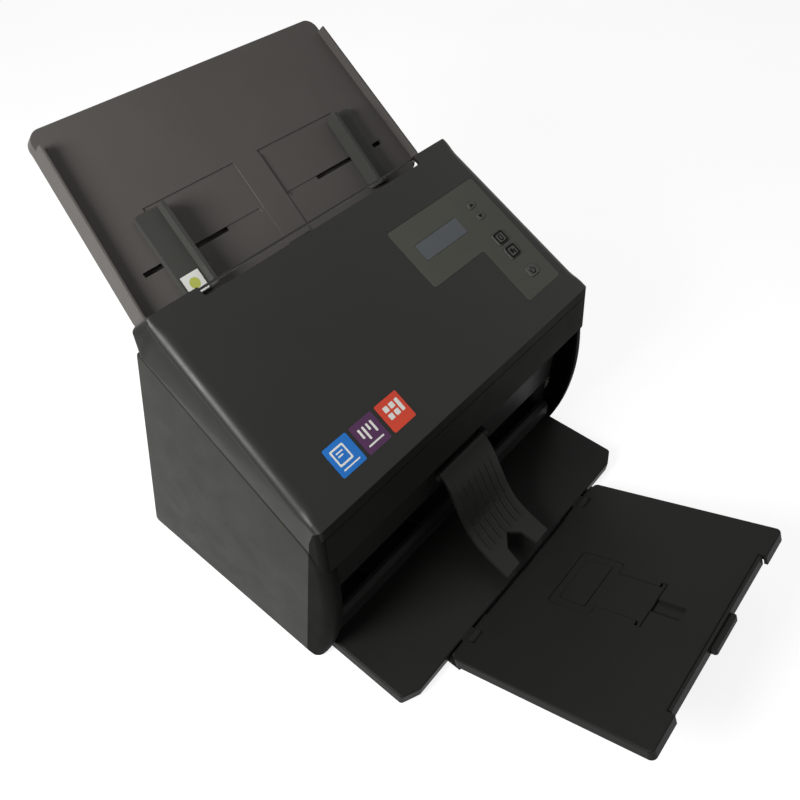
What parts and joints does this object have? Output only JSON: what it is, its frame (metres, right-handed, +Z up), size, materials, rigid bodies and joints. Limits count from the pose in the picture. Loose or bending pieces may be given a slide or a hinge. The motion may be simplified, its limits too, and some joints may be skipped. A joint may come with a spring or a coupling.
{
  "type": "document scanner",
  "caption": "Desktop sheet-fed document scanner with a big sloping hinged cover, a rear input tray with sliding guides and a folding front output tray.",
  "frame": {"origin": "on the table under the middle of the body's base, between the four feet of the body", "axes": "+X to the machine's right as its user sees it, -Y to the front where the output tray is, +Z up"},
  "size_m": [0.32, 0.497, 0.3045],
  "materials": {
    "shell": "fine textured",
    "inner": "matt",
    "trays": "fine textured",
    "guides": "satin",
    "panel_film": "satin film",
    "display": "clear",
    "keys": "satin",
    "rubber": "matt",
    "steel": "brushed",
    "bush_plastic": "satin",
    "gear_plastic": "satin",
    "circuit": "gloss lacquer",
    "socket": "satin",
    "sensor_case": "matt",
    "sensor_glass": "clear"
  },
  "bodies": {
    "body": {"base_housing": "inner", "rubber_feet": "rubber", "left_panel": "shell", "right_panel": "shell", "left_frame": "steel", "right_frame": "steel", "rear_cover": "shell", "power_inlet": "socket", "data_socket": "socket", "main_board": "circuit", "hopper": "inner", "input_tray_pins": "steel", "lower_guide": "inner", "lower_sensor": "sensor_case", "lower_glass": "sensor_glass", "exit_cover": "inner", "output_shelf": "trays", "tray_hinge_pins": "steel", "shaft_bushes": "bush_plastic", "gear_studs": "steel", "door_pivot_pins": "steel", "drive_motor": "steel"},
    "cover": {"top_cover": "shell", "upper_frame": "inner", "upper_sensor": "sensor_case", "upper_glass": "sensor_glass", "control_overlay": "panel_film", "lcd_window": "display", "control_board": "circuit"},
    "input_tray": {"input_tray": "trays", "tray_back": "trays"},
    "left_guide": {"left_guide": "guides"},
    "right_guide": {"right_guide": "guides"},
    "guide_pinion": {"guide_pinion": "gear_plastic"},
    "output_tray": {"output_tray": "trays"},
    "tray_extension": {"tray_extension": "trays"},
    "paper_stop": {"paper_stop": "trays"},
    "exit_flap": {"exit_flap": "inner"},
    "feed_roller": {"feed_shaft": "steel", "feed_tyres": "rubber", "feed_gear": "gear_plastic"},
    "pick_roller": {"pick_shaft": "steel", "pick_tyre": "rubber", "pick_gear": "gear_plastic"},
    "exit_roller": {"exit_shaft": "steel", "exit_tyres": "rubber", "exit_gear": "gear_plastic"},
    "lower_transfer": {"lower_transfer_gear": "gear_plastic"},
    "upper_transfer": {"upper_transfer_gear": "gear_plastic"},
    "motor_gear": {"motor_pinion": "gear_plastic"},
    "separation_roller": {"separation_roller": "rubber"},
    "feed_idler": {"feed_idler": "bush_plastic"},
    "exit_idler": {"exit_idler": "bush_plastic"},
    "up_key": {"up_key": "keys"},
    "down_key": {"down_key": "keys"},
    "simplex_key": {"simplex_key": "keys"},
    "duplex_key": {"duplex_key": "keys"},
    "power_key": {"power_key": "keys"}
  },
  "joints": [
    {"name": "cover_hinge", "type": "hinge", "parent": "body", "child": "cover", "pos_m": [0, -0.08, 0.097], "axis": [1, 0, 0], "range_deg": [0, 60]},
    {"name": "input_tray_hinge", "type": "hinge", "parent": "body", "child": "input_tray", "pos_m": [0, 0.07263, 0.20102], "axis": [1, 0, 0], "range_deg": [0, 36]},
    {"name": "left_guide_slide", "type": "slide", "parent": "input_tray", "child": "left_guide", "axis": [1, 0, 0], "range_m": [-0.022, 0.045]},
    {"name": "right_guide_slide", "type": "slide", "parent": "input_tray", "child": "right_guide", "axis": [1, 0, 0], "range_m": [-0.045, 0.022]},
    {"name": "guide_pinion_spin", "type": "hinge", "parent": "input_tray", "child": "guide_pinion", "pos_m": [0, 0.11099, 0.23772], "axis": [0, -0.6494, 0.7604], "range_deg": [-330, 170]},
    {"name": "output_tray_hinge", "type": "hinge", "parent": "body", "child": "output_tray", "pos_m": [0, -0.17287, 0.01227], "axis": [-1, 0, 0], "range_deg": [0, 38]},
    {"name": "extension_slide", "type": "slide", "parent": "output_tray", "child": "tray_extension", "axis": [0, -0.9041, 0.4274], "range_m": [0, 0.06]},
    {"name": "paper_stop_hinge", "type": "hinge", "parent": "output_tray", "child": "paper_stop", "pos_m": [0, -0.26114, 0.0572], "axis": [1, 0, 0], "range_deg": [0, 90]},
    {"name": "exit_flap_hinge", "type": "hinge", "parent": "body", "child": "exit_flap", "pos_m": [0, -0.0955, 0.085], "axis": [-1, 0, 0], "range_deg": [0, 25]},
    {"name": "up_key_press", "type": "slide", "parent": "cover", "child": "up_key", "axis": [0, 0.4684, -0.8835], "range_m": [0, 0.0008], "stiffness_N_per_m": 400, "springref_m": -0.001},
    {"name": "down_key_press", "type": "slide", "parent": "cover", "child": "down_key", "axis": [0, 0.4684, -0.8835], "range_m": [0, 0.0008], "stiffness_N_per_m": 400, "springref_m": -0.001},
    {"name": "simplex_key_press", "type": "slide", "parent": "cover", "child": "simplex_key", "axis": [0, 0.4684, -0.8835], "range_m": [0, 0.0008], "stiffness_N_per_m": 400, "springref_m": -0.001},
    {"name": "duplex_key_press", "type": "slide", "parent": "cover", "child": "duplex_key", "axis": [0, 0.4684, -0.8835], "range_m": [0, 0.0008], "stiffness_N_per_m": 400, "springref_m": -0.001},
    {"name": "power_key_press", "type": "slide", "parent": "cover", "child": "power_key", "axis": [0, 0.4684, -0.8835], "range_m": [0, 0.0008], "stiffness_N_per_m": 400, "springref_m": -0.001},
    {"name": "feed_spin", "type": "hinge", "parent": "body", "child": "feed_roller", "pos_m": [0, 0.0079, 0.12939], "axis": [1, 0, 0], "continuous": true},
    {"name": "pick_spin", "type": "hinge", "parent": "body", "child": "pick_roller", "pos_m": [0, 0.0431, 0.16512], "axis": [1, 0, 0], "continuous": true},
    {"name": "exit_spin", "type": "hinge", "parent": "body", "child": "exit_roller", "pos_m": [0, -0.06538, 0.04206], "axis": [1, 0, 0], "continuous": true},
    {"name": "lower_transfer_spin", "type": "hinge", "parent": "body", "child": "lower_transfer", "pos_m": [0.1522, -0.02874, 0.08573], "axis": [1, 0, 0], "continuous": true},
    {"name": "upper_transfer_spin", "type": "hinge", "parent": "body", "child": "upper_transfer", "pos_m": [0.1522, 0.03966, 0.13834], "axis": [1, 0, 0], "continuous": true},
    {"name": "motor_spin", "type": "hinge", "parent": "body", "child": "motor_gear", "pos_m": [0.1522, 0.01058, 0.06655], "axis": [1, 0, 0], "continuous": true},
    {"name": "separation_spin", "type": "hinge", "parent": "cover", "child": "separation_roller", "pos_m": [0, 0.02368, 0.18142], "axis": [1, 0, 0], "continuous": true},
    {"name": "feed_idler_spin", "type": "hinge", "parent": "cover", "child": "feed_idler", "pos_m": [0, -0.00463, 0.1399], "axis": [1, 0, 0], "continuous": true},
    {"name": "exit_idler_spin", "type": "hinge", "parent": "body", "child": "exit_idler", "pos_m": [0, -0.0779, 0.05257], "axis": [1, 0, 0], "continuous": true}
  ],
  "couplings": [
    {"joint": "right_guide_slide", "follows": "left_guide_slide", "ratio": -1},
    {"joint": "guide_pinion_spin", "follows": "left_guide_slide", "rad_per_m": -119.05},
    {"joint": "exit_spin", "follows": "feed_spin", "ratio": 1},
    {"joint": "lower_transfer_spin", "follows": "feed_spin", "ratio": -0.58333},
    {"joint": "motor_spin", "follows": "feed_spin", "ratio": 2.8},
    {"joint": "upper_transfer_spin", "follows": "feed_spin", "ratio": -1.75},
    {"joint": "pick_spin", "follows": "feed_spin", "ratio": 1.4}
  ]
}
